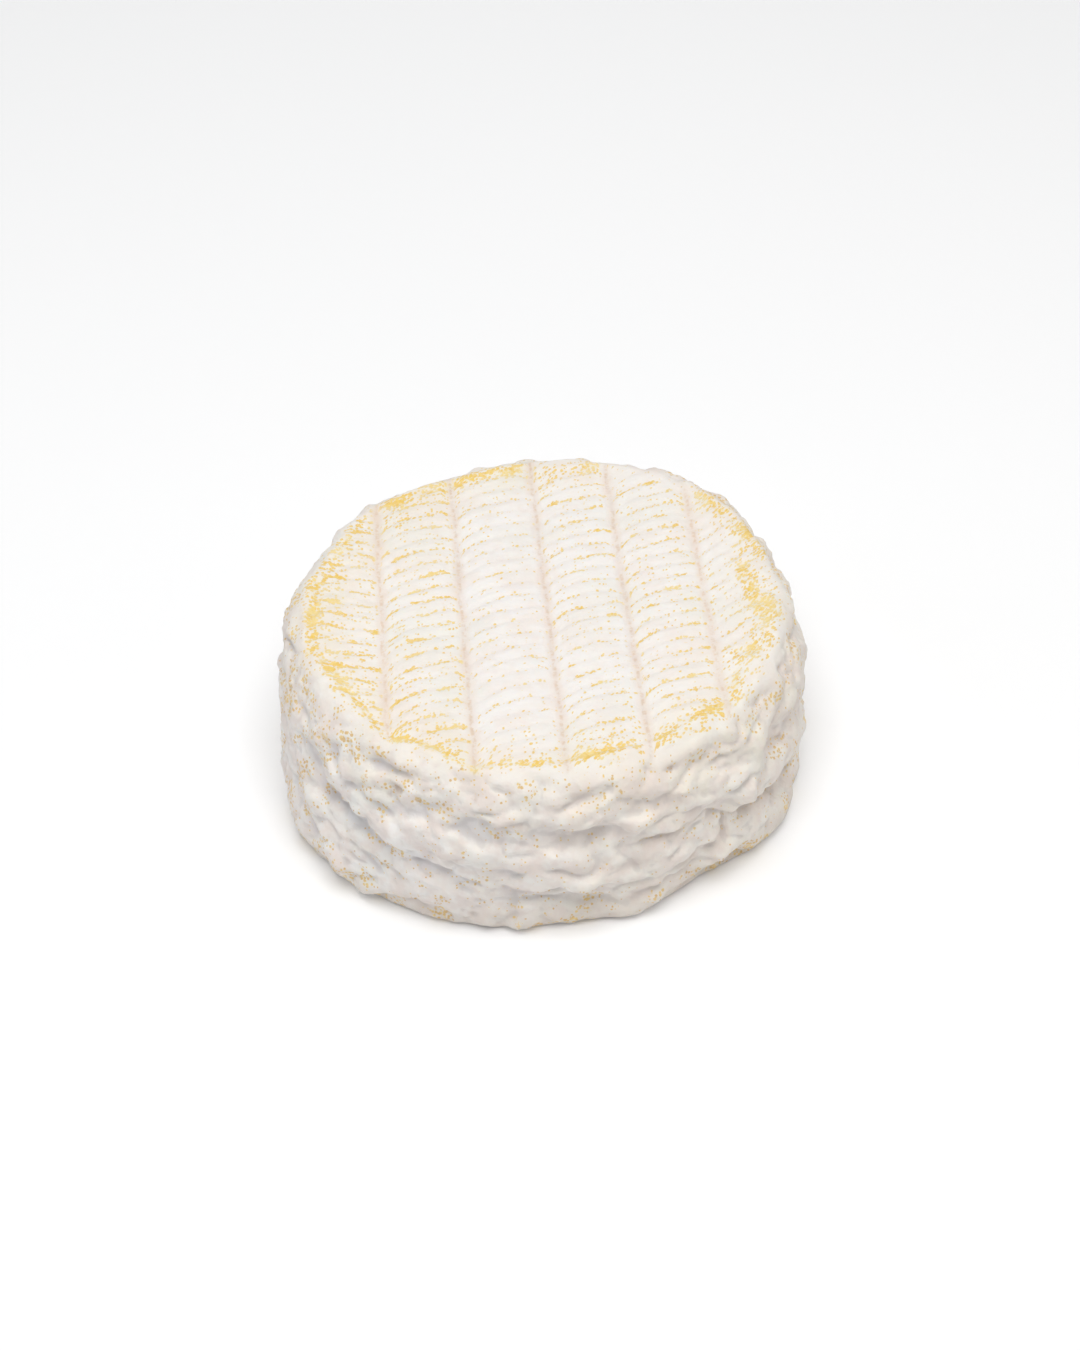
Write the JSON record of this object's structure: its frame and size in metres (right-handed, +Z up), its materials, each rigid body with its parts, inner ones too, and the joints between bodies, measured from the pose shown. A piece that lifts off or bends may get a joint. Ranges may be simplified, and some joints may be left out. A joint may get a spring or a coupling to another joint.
{
  "type": "cheese wheel",
  "caption": "Small round soft-ripened cheese wheel with a crumpled white rind and a flat top marked with grooves and fine ribs; whole food to set on a board, plate or shelf.",
  "frame": {"origin": "middle of the wheel's outline, on its flat underside", "axes": "+Z up through the ribbed top, the shortest extent; +Y along the top's grooves to within a few degrees, away from the crumpled front"},
  "size_m": [0.1106, 0.113, 0.039],
  "materials": {
    "white_rind": "dry matt white mould rind, cream on the ribs, pinkish beige in the grooves, with golden specks"
  },
  "bodies": {
    "root": {"cheese_wheel": "white_rind"}
  },
  "joints": []
}
